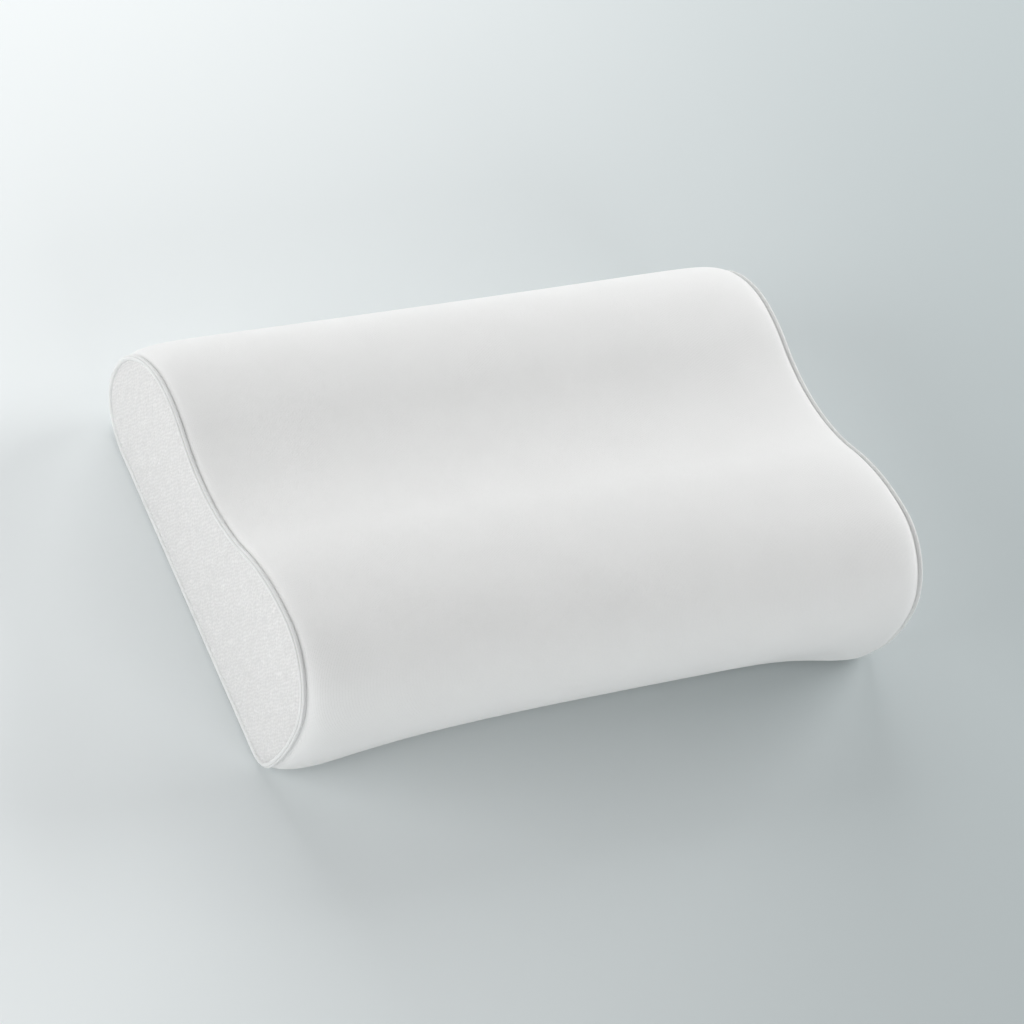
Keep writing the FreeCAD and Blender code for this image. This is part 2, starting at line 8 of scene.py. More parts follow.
# %% Load the frame
import math
import bpy
import bmesh
import numpy as np
from mathutils import Matrix, Vector
from mathutils.bvhtree import BVHTree
from mathutils.kdtree import KDTree


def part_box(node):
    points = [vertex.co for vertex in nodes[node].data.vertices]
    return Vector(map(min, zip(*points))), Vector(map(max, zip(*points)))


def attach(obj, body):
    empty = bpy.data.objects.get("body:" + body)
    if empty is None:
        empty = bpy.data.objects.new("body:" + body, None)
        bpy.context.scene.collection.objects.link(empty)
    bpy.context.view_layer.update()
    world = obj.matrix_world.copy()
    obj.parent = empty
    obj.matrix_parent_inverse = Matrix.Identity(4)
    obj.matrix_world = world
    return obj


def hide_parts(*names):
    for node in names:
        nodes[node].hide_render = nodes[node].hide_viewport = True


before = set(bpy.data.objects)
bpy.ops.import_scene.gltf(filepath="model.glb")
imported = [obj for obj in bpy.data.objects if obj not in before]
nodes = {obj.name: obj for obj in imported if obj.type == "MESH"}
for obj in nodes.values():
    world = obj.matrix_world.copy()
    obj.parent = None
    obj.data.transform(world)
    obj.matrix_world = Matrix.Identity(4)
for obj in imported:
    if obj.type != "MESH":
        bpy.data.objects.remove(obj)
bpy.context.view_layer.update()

MM = 0.001

# %% [markdown]
# ## Small helpers
# An operator acts on everything that is selected, so each step first clears the selection and then
# picks its own object. Modifiers are applied as soon as they have done their work.


# %% Selection and modifiers
def pick(piece):
    """Leave only this piece selected and active, in object mode."""
    if bpy.context.object and bpy.context.object.mode != "OBJECT":
        bpy.ops.object.mode_set(mode="OBJECT")
    bpy.ops.object.select_all(action="DESELECT")
    piece.select_set(True)
    bpy.context.view_layer.objects.active = piece


def apply_modifier(piece, kind, **settings):
    """Add one modifier with these settings and apply it."""
    pick(piece)
    modifier = piece.modifiers.new(kind.title(), kind)
    for key, value in settings.items():
        setattr(modifier, key, value)
    bpy.ops.object.modifier_apply(modifier=modifier.name)


def smooth(piece, degrees=40):
    """Smooth shading, with edges sharper than this left crisp."""
    pick(piece)
    bpy.ops.object.shade_smooth_by_angle(angle=math.radians(degrees))


def coordinates(piece):
    """A piece's points as an array."""
    flat = np.zeros(len(piece.data.vertices) * 3)
    piece.data.vertices.foreach_get("co", flat)
    return flat.reshape(-1, 3)


def set_coordinates(piece, points):
    """Move a piece's points."""
    piece.data.vertices.foreach_set("co", np.ascontiguousarray(points).ravel())
    piece.data.update()


def mesh_from(name, points, faces, uvs=None):
    """A new piece from points and faces; uvs holds one pair for each point."""
    mesh = bpy.data.meshes.new(name)
    mesh.from_pydata([tuple(p) for p in points], [], faces)
    if uvs is not None:
        layer = mesh.uv_layers.new(name="cloth")
        corners = np.zeros(len(mesh.loops), int)
        mesh.loops.foreach_get("vertex_index", corners)
        layer.data.foreach_set("uv", np.asarray(uvs)[corners].ravel())
    piece = bpy.data.objects.new(name, mesh)
    bpy.context.scene.collection.objects.link(piece)
    return piece


# %% [markdown]
# ## The end outline
# Everything follows the pillow's end outline: a flat base and a wave on top. It is read from the CAD
# end panel, which is the same outline moved inwards, and moved back out again. A smooth curve through
# the CAD's corners gives even points at any distance round the pillow, starting at the zip.


# %% Read the outline from the CAD
SAME_PLACE = 0.01 * MM
BELOW_VALLEY = 0.35
LONGEST_RUN = 20 * MM


def end_loop(node):
    """The corners of a CAD node's end, in order round the pillow, as (y, z) rows."""
    points = coordinates(nodes[node])
    end = points[points[:, 0] < points[:, 0].min() + SAME_PLACE][:, 1:]
    end = np.unique(np.round(end, 7), axis=0)
    low, high = end.min(0), end.max(0)
    centre = np.array([(low[0] + high[0]) / 2, low[1] + BELOW_VALLEY * (high[1] - low[1])])
    turn = np.arctan2(end[:, 1] - centre[1], end[:, 0] - centre[0])
    end = end[np.argsort(turn)]
    return np.roll(end, -int(np.argmax(end[:, 0])), axis=0)


def fill_long_runs(points, longest):
    """Divide the straight runs, so that a curve through the points stays straight there."""
    filled = []
    for a, b in zip(points, np.roll(points, -1, axis=0)):
        parts = max(1, int(np.linalg.norm(b - a) / longest))
        filled += [a + (b - a) * i / parts for i in range(parts)]
    return np.array(filled)


def curve_through(points, steps=24):
    """A smooth closed curve through the points, as many short steps."""
    ahead = np.roll(points, -1, axis=0)
    run = np.linalg.norm(ahead - points, axis=1)[:, None]
    slope = (ahead - points) / run
    run_before, slope_before = np.roll(run, 1, axis=0), np.roll(slope, 1, axis=0)
    tangent = (slope_before * run + slope * run_before) / (run + run_before)
    tangent_ahead = np.roll(tangent, -1, axis=0)
    rows = []
    for t in np.arange(steps) / steps:
        a = 2 * t ** 3 - 3 * t ** 2 + 1
        b = t ** 3 - 2 * t ** 2 + t
        c = -2 * t ** 3 + 3 * t ** 2
        d = t ** 3 - t ** 2
        rows.append(a * points + b * run * tangent + c * ahead + d * run * tangent_ahead)
    return np.stack(rows, axis=1).reshape(-1, 2)


end_points = curve_through(fill_long_runs(end_loop("cover_end_left"), LONGEST_RUN))
inset_of_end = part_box("cover_end_left")[0].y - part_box("cover_wrap_panel")[0].y


def outward(points):
    """The unit normals of a closed curve that runs anticlockwise."""
    along = np.roll(points, -1, axis=0) - np.roll(points, 1, axis=0)
    along /= np.linalg.norm(along, axis=1)[:, None]
    return np.stack([along[:, 1], -along[:, 0]], axis=1)


fine = end_points + outward(end_points) * inset_of_end
fine_normals = outward(fine)
steps_round = np.linalg.norm(np.roll(fine, -1, axis=0) - fine, axis=1)
fine_round = np.concatenate([[0], np.cumsum(steps_round)])
GIRTH = fine_round[-1]
fine = np.vstack([fine, fine[:1]])
fine_normals = np.vstack([fine_normals, fine_normals[:1]])
print("girth of the cover: %.1f mm" % (GIRTH / MM))


def on_outline(s, out=0.0):
    """Points at distance s round the pillow from the zip, moved outwards from the CAD outline."""
    s = np.mod(s, GIRTH)
    y, z = (np.interp(s, fine_round, fine[:, i]) for i in (0, 1))
    ny, nz = (np.interp(s, fine_round, fine_normals[:, i]) for i in (0, 1))
    length = np.hypot(ny, nz)
    return np.stack([y + ny / length * out, z + nz / length * out], axis=-1)


# %% Main sizes, from the frame
panel_low, panel_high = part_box("cover_wrap_panel")
sleeve_low, sleeve_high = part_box("piping_sleeve_left")
tail_y = panel_high.y
SEAM_X = -(sleeve_low.x + sleeve_high.x) / 2
PIPING_RADIUS = (sleeve_high.x - sleeve_low.x) / 2
middle_y = (panel_low.y + panel_high.y) / 2
print("seam planes at +-%.1f mm, piping radius %.2f mm" % (SEAM_X / MM, PIPING_RADIUS / MM))

# %% [markdown]
# ## Camera, lights and floor
# The pillow is seen from above its front left corner, with the camera turned a little on its own axis.
# A large soft light stands behind it, one at each side, and a low one fills the front. The floor is
# pale, and its colour darkens slowly from its far left to its near right, a painted light falloff.

# %% Camera
VIEW_AZIMUTH = math.radians(-41.604)
VIEW_ELEVATION = math.radians(47.836)
VIEW_ROLL = math.radians(23.797)
VIEW_DISTANCE = 3.0709
VIEW_LENS = 144.83
VIEW_SIDE = 13.7 * MM
VIEW_LIFT = 21.3 * MM

back = Vector((math.sin(VIEW_AZIMUTH) * math.cos(VIEW_ELEVATION),
               -math.cos(VIEW_AZIMUTH) * math.cos(VIEW_ELEVATION),
               math.sin(VIEW_ELEVATION)))
level_right = Vector((math.cos(VIEW_AZIMUTH), math.sin(VIEW_AZIMUTH), 0))
level_up = back.cross(level_right)
right = level_right * math.cos(VIEW_ROLL) + level_up * math.sin(VIEW_ROLL)
up = level_up * math.cos(VIEW_ROLL) - level_right * math.sin(VIEW_ROLL)
turn = Matrix((right, up, back)).transposed().to_4x4()
centre = Vector((0, middle_y, PIPING_RADIUS))
place = centre + right * VIEW_SIDE + up * VIEW_LIFT + back * VIEW_DISTANCE
bpy.ops.object.camera_add(location=place, rotation=turn.to_euler())
camera = bpy.context.object
camera.data.lens = VIEW_LENS
camera.data.sensor_width = 36
camera.data.clip_end = 50
bpy.context.scene.camera = camera
bpy.context.scene.view_settings.view_transform = "Standard"


# %% Lights and floor
AIM_HEIGHT = 50 * MM
NEUTRAL = (1.0, 1.0, 1.0)
SKY_TINT = (0.98, 0.99, 1.0, 1)
SKY_STRENGTH = 0.14


def soft_light(name, location, size, watts):
    """A square area light that points at the pillow, its place and size in metres."""
    aim = Vector((0, 0, AIM_HEIGHT)) - Vector(location)
    bpy.ops.object.light_add(type="AREA", location=location,
                             rotation=aim.to_track_quat("-Z", "Y").to_euler())
    light = bpy.context.object
    light.name = name
    light.data.shape = "SQUARE"
    light.data.size = size
    light.data.energy = watts
    light.data.color = NEUTRAL


soft_light("key_light", (0.2, 2.0, 1.2), 2.0, 35)
soft_light("left_light", (-2.2, 0.0, 0.7), 1.6, 37)
soft_light("right_light", (2.2, 0.3, 1.0), 1.6, 45)
soft_light("fill_light", (0.2, -2.2, 0.5), 1.6, 28)

world = bpy.data.worlds.new("studio")
world.use_nodes = True
sky = world.node_tree.nodes["Background"]
sky.inputs["Color"].default_value = SKY_TINT
sky.inputs["Strength"].default_value = SKY_STRENGTH
bpy.context.scene.world = world

bpy.ops.mesh.primitive_grid_add(x_subdivisions=8, y_subdivisions=8, size=8, location=(0, 0, 0))
floor = bpy.context.object
floor.name = "studio_floor"


# %% [markdown]
# ## Materials
# Cloth is never one flat colour. Each finish below mixes two close tones with a soft noise, and gets its
# thread pattern from waves that follow the cloth's own UV map, laid out in metres.


# %% Material helpers
class Finish:
    """A material under construction: nodes are added by kind and joined in order."""

    def __init__(self, name, roughness, sheen=0.0):
        self.material = bpy.data.materials.new(name)
        self.material.use_nodes = True
        self.tree = self.material.node_tree
        self.shader = self.tree.nodes["Principled BSDF"]
        self.shader.inputs["Roughness"].default_value = roughness
        self.shader.inputs["Specular IOR Level"].default_value = 0.3
        if sheen:
            self.shader.inputs["Sheen Weight"].default_value = sheen
            self.shader.inputs["Sheen Roughness"].default_value = 0.5
        self.bump = None

    def add(self, kind, **inputs):
        """A node with its sockets joined to other nodes' outputs or set to numbers."""
        node = self.tree.nodes.new(kind)
        for key, value in inputs.items():
            if key.startswith("set_"):
                setattr(node, key[4:], value)
                continue
            socket = node.inputs[int(key[1:])] if key[0] == "i" and key[1:].isdigit() else node.inputs[key]
            if isinstance(value, bpy.types.NodeSocket):
                self.tree.links.new(value, socket)
            else:
                socket.default_value = value
        return node

    def math(self, operation, a, b=0.0):
        """One sum of two values."""
        return self.add("ShaderNodeMath", set_operation=operation, i0=a, i1=b).outputs[0]

    def place(self, source):
        """The cloth's own coordinates, UV, or the object's, Object."""
        return self.tree.nodes.new("ShaderNodeTexCoord").outputs[source]

    def axes(self, vector):
        """The three parts of a vector."""
        return self.add("ShaderNodeSeparateXYZ", Vector=vector).outputs

    def noise(self, vector, scale, detail=2.0):
        """Soft noise from 0 to 1."""
        return self.add("ShaderNodeTexNoise", Vector=vector, Scale=scale, Detail=detail).outputs["Fac"]

    def colour(self, fac, dark, light):
        """The base colour, from one tone to another."""
        ramp = self.add("ShaderNodeMix", set_data_type="RGBA", i0=fac)
        ramp.inputs[6].default_value = (*dark, 1)
        ramp.inputs[7].default_value = (*light, 1)
        self.tree.links.new(ramp.outputs[2], self.shader.inputs["Base Color"])

    def raise_by(self, height, depth, strength=1.0):
        """Bump from a height pattern, depth metres from its lowest to its highest."""
        node = self.add("ShaderNodeBump", Height=height, Distance=depth, Strength=strength)
        if self.bump is not None:
            self.tree.links.new(self.bump.outputs[0], node.inputs["Normal"])
        self.tree.links.new(node.outputs[0], self.shader.inputs["Normal"])
        self.bump = node

    def give(self, *pieces):
        """Put the finish on these pieces."""
        for piece in pieces:
            piece.data.materials.clear()
            piece.data.materials.append(self.material)


# %% Floor and cover finishes
floor_finish = Finish("pale_floor", 0.6)
floor_place = floor_finish.place("Object")
floor_x, floor_y, _ = floor_finish.axes(floor_place)
# Painted light falloff: the floor's colour darkens from its far left to its near right, with a faint
# random mottle.
LIGHT_FALLOFF_X, LIGHT_FALLOFF_Y = -0.86, 0.45
LIGHT_FALLOFF_REACH = 0.62
CLOUD_SCALE = 1.5
CLOUD_SHARE = 0.06
painted_light_falloff = floor_finish.math("ADD", floor_finish.math("MULTIPLY", floor_x, LIGHT_FALLOFF_X),
                          floor_finish.math("MULTIPLY", floor_y, LIGHT_FALLOFF_Y))
cloud = floor_finish.math("MULTIPLY", floor_finish.noise(floor_place, CLOUD_SCALE), CLOUD_SHARE)
painted_light_falloff = floor_finish.add("ShaderNodeMapRange", Value=floor_finish.math("ADD", painted_light_falloff, cloud),
                         set_interpolation_type="SMOOTHSTEP")
painted_light_falloff.inputs["From Min"].default_value = -LIGHT_FALLOFF_REACH
painted_light_falloff.inputs["From Max"].default_value = LIGHT_FALLOFF_REACH
floor_finish.colour(painted_light_falloff.outputs[0], (0.40, 0.45, 0.458), (0.89, 0.925, 0.93))
floor_finish.give(floor)


def knit_finish(name, dark, light, wale=1.1 * MM, course=0.8 * MM, depth=0.1 * MM):
    """Fine jersey: rows of small V-shaped loops, a little uneven, with a soft fuzz."""
    finish = Finish(name, 0.9, sheen=0.25)
    cloth = finish.place("UV")
    u, v, _ = finish.axes(cloth)
    across = finish.math("MULTIPLY", u, math.pi / wale)
    rib = finish.math("ABSOLUTE", finish.math("SINE", across))
    lean = finish.math("MULTIPLY", rib, 1.6)
    along = finish.math("ADD", finish.math("MULTIPLY", v, 2 * math.pi / course), lean)
    loops = finish.math("MULTIPLY", finish.math("SINE", along), 0.3)
    height = finish.math("ADD", rib, loops)
    fuzz = finish.noise(cloth, 1 / (0.9 * MM), 3.0)
    patch = finish.noise(cloth, 1 / (45 * MM), 2.0)
    tone = finish.math("MULTIPLY", finish.math("ADD", fuzz, patch), 0.5)
    finish.colour(tone, dark, light)
    finish.raise_by(height, depth)
    finish.raise_by(fuzz, 0.22 * MM, 0.6)
    return finish


WHITE_DARK = (0.76, 0.763, 0.757)
WHITE_LIGHT = (0.84, 0.843, 0.837)
cover_knit = knit_finish("cover_knit", WHITE_DARK, WHITE_LIGHT)

# %% [markdown]
# ## The wrap panel
# The panel is a tube of knit, sewn to the piping at both ends and to the zip's tapes along the tail.
# Cloth held at its seams swells between them, so the panel is a cloth simulation: its seams are
# pinned, a light pressure stands for the foam, and the movement is capped so it keeps its size.

# %% Lay out the panel
PANEL_END = SEAM_X - PIPING_RADIUS + 0.3 * MM
SLOT_HALF = 5.2 * MM
SLOT_REACH = 204 * MM
CLOTH_STEP = 6.4 * MM
END_STEPS = np.array([0, 1.2, 2.8, 5.0, 8.2, 12.5]) * MM


def spread(start, end, step):
    """Evenly spaced values from start to end, about a step apart."""
    return np.linspace(start, end, int(round((end - start) / step)) + 1)


end_lines = PANEL_END - END_STEPS
side_lines = spread(SLOT_REACH, end_lines[-1], CLOTH_STEP)[:-1]
half_lines = np.concatenate([spread(0, SLOT_REACH, CLOTH_STEP), side_lines[1:], end_lines[::-1]])
x_lines = np.concatenate([-half_lines[:0:-1], half_lines])
s_lines = np.concatenate([[0], spread(SLOT_HALF, GIRTH - SLOT_HALF, CLOTH_STEP)])
COLUMNS, ROWS = len(x_lines), len(s_lines)
print("cloth grid: %d lines along, %d round" % (COLUMNS, ROWS))


TUCK_DEPTH = 1.8 * MM
TUCK_WIDTH = 3 * MM


def tuck(x):
    """How far the cloth turns in towards the piping, by its distance from the seam."""
    from_seam = PANEL_END - np.abs(x)
    return -TUCK_DEPTH * np.exp(-from_seam / TUCK_WIDTH)


def tube(out):
    """The tube's points, row by row round the pillow, out from the CAD outline."""
    s, x = np.meshgrid(s_lines, x_lines, indexing="ij")
    yz = on_outline(s, out + tuck(x))
    return np.concatenate([x[..., None], yz], axis=-1).reshape(-1, 3)


def tube_faces():
    """Four-sided faces of the closed tube, facing outwards."""
    faces = []
    for i in range(ROWS):
        j = (i + 1) % ROWS
        for k in range(COLUMNS - 1):
            faces.append((i * COLUMNS + k, j * COLUMNS + k, j * COLUMNS + k + 1, i * COLUMNS + k + 1))
    return faces


# %% How far the foam pushes the cloth out
PROUD = 6.4 * MM
PROUD_EDGE = 12 * MM
ZIP_REACH = 210 * MM
ZIP_HOLD = 22 * MM


def freedom(x, s):
    """How free the cloth is to swell: 0 where the zip's tapes hold it, 1 well away from them."""
    from_zip = np.minimum(np.mod(s, GIRTH), GIRTH - np.mod(s, GIRTH)) - SLOT_HALF
    beyond_zip = np.maximum(np.abs(x) - ZIP_REACH, 0)
    from_tapes = np.hypot(np.maximum(from_zip, 0), beyond_zip)
    return 1 - np.exp(-(from_tapes / ZIP_HOLD) ** 2)


def proud(x, s):
    """How far the cloth stands proud of the CAD outline, falling to the seam at each end."""
    from_seam = np.maximum(PANEL_END - np.abs(x), 0)
    return PROUD * (1 - np.exp(-from_seam / PROUD_EDGE)) * freedom(x, s)


s_grid, x_grid = np.meshgrid(s_lines, x_lines, indexing="ij")
panel = mesh_from("cover_panel", tube(proud(x_grid, s_grid)), tube_faces())


# %% Let the cloth swell
EVENING_PASSES = 6


def evened(field):
    """A field over the tube's grid, with its short ripples evened out."""
    for _ in range(EVENING_PASSES):
        field = (np.roll(field, 1, axis=0) + 2 * field + np.roll(field, -1, axis=0)) / 4
        wide = np.concatenate([field[:, :1], field, field[:, -1:]], axis=1)
        field = (wide[:, :-2] + 2 * field + wide[:, 2:]) / 4
    return field


def swell(piece, pinned, pressure, frames, cap, release):
    """Run a cloth simulation with some points held, then cap how far each point has moved.

    release is 0 to 1 for each point: how free the cloth is to move there."""
    before = coordinates(piece)
    group = piece.vertex_groups.new(name="seams")
    group.add([int(i) for i in pinned], 1.0, "REPLACE")
    pick(piece)
    cloth = piece.modifiers.new("Cloth", "CLOTH")
    settings = cloth.settings
    settings.quality = 6
    settings.mass = 0.25
    settings.tension_stiffness = 18
    settings.compression_stiffness = 18
    settings.shear_stiffness = 6
    settings.bending_stiffness = 0.6
    settings.vertex_group_mass = "seams"
    settings.use_pressure = True
    settings.uniform_pressure_force = pressure
    settings.effector_weights.gravity = 0
    cloth.point_cache.frame_start = 1
    cloth.point_cache.frame_end = frames
    for number in range(1, frames + 1):
        bpy.context.scene.frame_set(number)
    bpy.ops.object.modifier_apply(modifier=cloth.name)
    bpy.context.scene.frame_set(1)
    piece.vertex_groups.clear()
    moved = evened((coordinates(piece) - before).reshape(ROWS, COLUMNS, 3)).reshape(-1, 3)
    far = np.linalg.norm(moved, axis=1)
    keep = cap * np.tanh(far / cap) / np.maximum(far, 1e-9) * release
    set_coordinates(piece, before + moved * keep[:, None])
    print("%s swelled by %.1f mm before the cap, %.1f mm after" % (
        piece.name, far.max() / MM, (far * keep).max() / MM))


index = np.arange(ROWS * COLUMNS).reshape(ROWS, COLUMNS)
in_slot_x = np.abs(x_lines) < SLOT_REACH + 0.1 * MM
held = np.concatenate([
    index[:, [0, 1, -2, -1]].ravel(),
    index[[0, 1, -1]][:, in_slot_x].ravel(),
])
SWELL_CAP = 2.2 * MM
SEAM_HOLD = 8 * MM
release = freedom(x_grid, s_grid) * (1 - np.exp(-((PANEL_END - np.abs(x_grid)) / SEAM_HOLD) ** 2))
swell(panel, held, 4.0, 20, SWELL_CAP, release.ravel())


# %% [markdown]
# The underside lies flat, and the long front edge is drawn in from its middle to the right, where the
# panel is a little tight over the foam. Both are small moves of the swollen cloth.


# %% Draw in the front edge and flatten the underside
DRAW_LEAST = 3 * MM
DRAW_MORE = 12 * MM
DRAW_START = -150 * MM
DRAW_SPAN = 90 * MM
DRAW_WIDTH = 42 * MM
DRAW_BACK = 0.83
DRAW_UP = 0.56
DRAW_RAMP = 20 * MM
DRAW_END = 50 * MM
front_toe = int(np.argmax(fine_normals @ np.array([-DRAW_BACK, -DRAW_UP])))
TOE_ROUND = fine_round[front_toe]


def draw_in(x, s):
    """How far the front edge is drawn in at x along and s round the pillow."""
    along = 0.5 + 0.5 * np.tanh((x - DRAW_START) / DRAW_SPAN)
    near_seam = 1 - np.exp(-((PANEL_END - np.abs(x)) / DRAW_END) ** 2)
    return (DRAW_LEAST + DRAW_MORE * along) * near_seam * np.exp(-((s - TOE_ROUND) / DRAW_WIDTH) ** 2)


def shape_layer(points, lowest):
    """Draw in the front edge of a layer of tube points, and flatten its underside."""
    far = draw_in(points[:, 0], np.repeat(s_lines, COLUMNS))
    height = np.maximum(points[:, 2] - lowest, 0)
    y = points[:, 1] + DRAW_BACK * far
    z = lowest + height + DRAW_UP * far * np.minimum(height / DRAW_RAMP, 1)
    return np.stack([points[:, 0], y, z], axis=1)


set_coordinates(panel, shape_layer(coordinates(panel), panel_low.z))

# %% Open the zip slot, give the cloth a thickness, and round it off
PANEL_THICKNESS = 1.5 * MM


def cloth_uvs(s_values, x_values):
    """Cloth coordinates in metres: along the pillow, and round it."""
    s, x = np.meshgrid(s_values, x_values, indexing="ij")
    return np.stack([x.ravel(), s.ravel()], axis=1)


def lay_uvs(piece):
    """Lay the tube's cloth coordinates, with the last row running on past the zip."""
    mesh = piece.data
    layer = mesh.uv_layers.new(name="cloth")
    uvs = cloth_uvs(s_lines, x_lines)
    for face in mesh.polygons:
        rows = [mesh.loops[i].vertex_index // COLUMNS for i in face.loop_indices]
        wraps = max(rows) - min(rows) > 1
        for i, row in zip(face.loop_indices, rows):
            u, v = uvs[mesh.loops[i].vertex_index]
            layer.data[i].uv = (u, v + GIRTH if wraps and row == 0 else v)


lay_uvs(panel)


def open_slot(piece):
    """Take out the faces over the zip."""
    mesh = bmesh.new()
    mesh.from_mesh(piece.data)
    mesh.faces.ensure_lookup_table()
    doomed = []
    for face in mesh.faces:
        rows = {v.index // COLUMNS for v in face.verts}
        beside_zip = rows <= {0, 1} or rows <= {0, ROWS - 1}
        if beside_zip and abs(face.calc_center_median().x) < SLOT_REACH:
            doomed.append(face)
    bmesh.ops.delete(mesh, geom=doomed, context="FACES")
    mesh.to_mesh(piece.data)
    mesh.free()
    print("opened the zip slot:", len(doomed), "faces")


open_slot(panel)
apply_modifier(panel, "SUBSURF", levels=1, render_levels=1)
apply_modifier(panel, "SOLIDIFY", thickness=PANEL_THICKNESS, offset=-1, use_even_offset=True)
smooth(panel, 60)
cover_knit.give(panel)
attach(panel, "pillow")
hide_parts("cover_wrap_panel")

# %% [markdown]
# ## The mesh ends
# Each end is a flat piece of spacer mesh, covered in small bumps in staggered rows. The bumps are real
# geometry: a fine grid is cut to the outline, crowned a little by the foam behind it, and raised in
# rows. Its raw edge is hidden under the piping.

# %% Cut the mesh to shape and raise its bumps
BUMP_PITCH = 3.0 * MM
BUMP_ROW = 2.6 * MM
BUMP_HEIGHT = 0.8 * MM
BUMP_WANDER = 2.4 * MM
BUMP_UNEVEN = 0.5
CELLS_PER_BUMP = 4
CELLS_PER_ROW = 3
HIDDEN_EDGE = 2.8 * MM
END_CROWN = 2.6 * MM
CROWN_WIDTH = 30 * MM
END_RISE = 3.2 * MM
RISE_WIDTH = 3.5 * MM
BUMP_EDGE = 3 * MM
END_THICKNESS = 1.2 * MM

outline_tree = KDTree(len(fine))
for number, (y, z) in enumerate(fine):
    outline_tree.insert((y, z, 0), number)
outline_tree.balance()


def inset_at(y, z):
    """How far a point lies inside the CAD outline."""
    _, number, far = outline_tree.find((y, z, 0))
    inward = (fine[number] - (y, z)) @ fine_normals[number]
    return math.copysign(far, inward)


def soft_noise(shape, size, seed):
    """Seeded noise over a grid, from -size to size, smooth over about one bump."""
    field = np.random.RandomState(seed).uniform(-1, 1, shape)
    for _ in range(CELLS_PER_BUMP):
        field = (np.roll(field, 1, 0) + field + np.roll(field, -1, 0)) / 3
        field = (np.roll(field, 1, 1) + field + np.roll(field, -1, 1)) / 3
    return field / np.abs(field).max() * size


def mesh_end(name, way):
    """One mesh end, way -1 for the left and 1 for the right."""
    low, high = fine.min(0), fine.max(0)
    across = int(math.ceil((high[0] - low[0]) / (BUMP_PITCH / CELLS_PER_BUMP)))
    upward = int(math.ceil((high[1] - low[1]) / (BUMP_ROW / CELLS_PER_ROW)))
    ys = low[0] + np.arange(across + 1) * BUMP_PITCH / CELLS_PER_BUMP
    zs = low[1] + np.arange(upward + 1) * BUMP_ROW / CELLS_PER_ROW
    inset = np.array([[inset_at(y, z) for y in ys] for z in zs])
    y, z = np.meshgrid(ys, zs)
    edge = np.maximum(inset - HIDDEN_EDGE, 0)
    lift = -PIPING_RADIUS / 2 + END_RISE * (1 - np.exp(-edge / RISE_WIDTH))
    lift += END_CROWN * (1 - np.exp(-edge / CROWN_WIDTH))
    wander_y, wander_z = (soft_noise(y.shape, BUMP_WANDER, seed) for seed in (3, 4))
    bumps = 0.5 + 0.5 * (np.cos(2 * math.pi * (y - low[0] + wander_y) / BUMP_PITCH)
                         * np.cos(math.pi * (z - low[1] + wander_z) / BUMP_ROW))
    uneven = 1 - BUMP_UNEVEN / 2 + soft_noise(y.shape, BUMP_UNEVEN, 5)
    lift += BUMP_HEIGHT * uneven * bumps ** 1.5 * np.clip(edge / BUMP_EDGE, 0, 1)
    kept = inset > HIDDEN_EDGE
    number = np.full(kept.shape, -1)
    number[kept] = np.arange(kept.sum())
    points = np.stack([way * (SEAM_X + lift[kept]), y[kept], z[kept]], axis=1)
    faces = []
    for i in range(len(zs) - 1):
        for j in range(len(ys) - 1):
            corners = (number[i, j], number[i, j + 1], number[i + 1, j + 1], number[i + 1, j])
            if min(corners) >= 0:
                faces.append(corners if way > 0 else corners[::-1])
    piece = mesh_from(name, points, [tuple(int(c) for c in face) for face in faces],
                      np.stack([y[kept] - low[0], z[kept] - low[1]], axis=1))
    # The bumps' heights are kept on the points, so that the finish can paint shade between the bumps.
    painted_pit_shade = piece.data.attributes.new("bump_height", "FLOAT", "POINT")
    painted_pit_shade.data.foreach_set("value", (bumps * uneven)[kept])
    close_back(piece, -way * END_THICKNESS)
    smooth(piece, 60)
    return piece


def edit_open_edges(piece):
    """Go into edit mode with the piece's open edges selected."""
    pick(piece)
    bpy.ops.object.mode_set(mode="EDIT")
    bpy.ops.mesh.select_all(action="DESELECT")
    bpy.ops.mesh.select_mode(type="EDGE")
    bpy.ops.mesh.select_non_manifold(extend=False, use_boundary=True, use_wire=False,
                                     use_multi_face=False, use_non_contiguous=False, use_verts=False)


def close_back(piece, depth):
    """Pull the raw edge inwards and close it, so that the sheet has a back."""
    edit_open_edges(piece)
    bpy.ops.mesh.extrude_edges_move(TRANSFORM_OT_translate={"value": (depth, 0, 0)})
    bpy.ops.mesh.edge_face_add()
    bpy.ops.object.mode_set(mode="OBJECT")


def mesh_finish():
    """Spacer mesh: a grey-white knit with a finer weave on top of its bumps, and painted shade between
    them.
    """
    finish = Finish("air_mesh", 0.85, sheen=0.15)
    cloth = finish.place("UV")
    u, v, _ = finish.axes(cloth)
    fine_u = finish.math("SINE", finish.math("MULTIPLY", u, 4 * math.pi / BUMP_PITCH))
    fine_v = finish.math("SINE", finish.math("MULTIPLY", v, 4 * math.pi / BUMP_ROW))
    weave = finish.math("MULTIPLY", fine_u, fine_v)
    fuzz = finish.noise(cloth, 1 / (0.7 * MM), 3.0)
    coarse = finish.noise(cloth, 1 / (2.6 * MM), 1.0)
    # Painted shade: the colour is darker where the bumps are low, in the hollows between them.
    painted_pit_shade = finish.add("ShaderNodeAttribute", set_attribute_name="bump_height").outputs["Fac"]
    speckle = finish.math("MULTIPLY", finish.math("ADD", fuzz, coarse), 0.2)
    tone = finish.math("ADD", finish.math("MULTIPLY", painted_pit_shade, 0.6), speckle)
    finish.colour(tone, (0.575, 0.572, 0.568), (0.86, 0.853, 0.847))
    finish.raise_by(weave, 0.08 * MM)
    finish.raise_by(fuzz, 0.2 * MM, 0.6)
    return finish


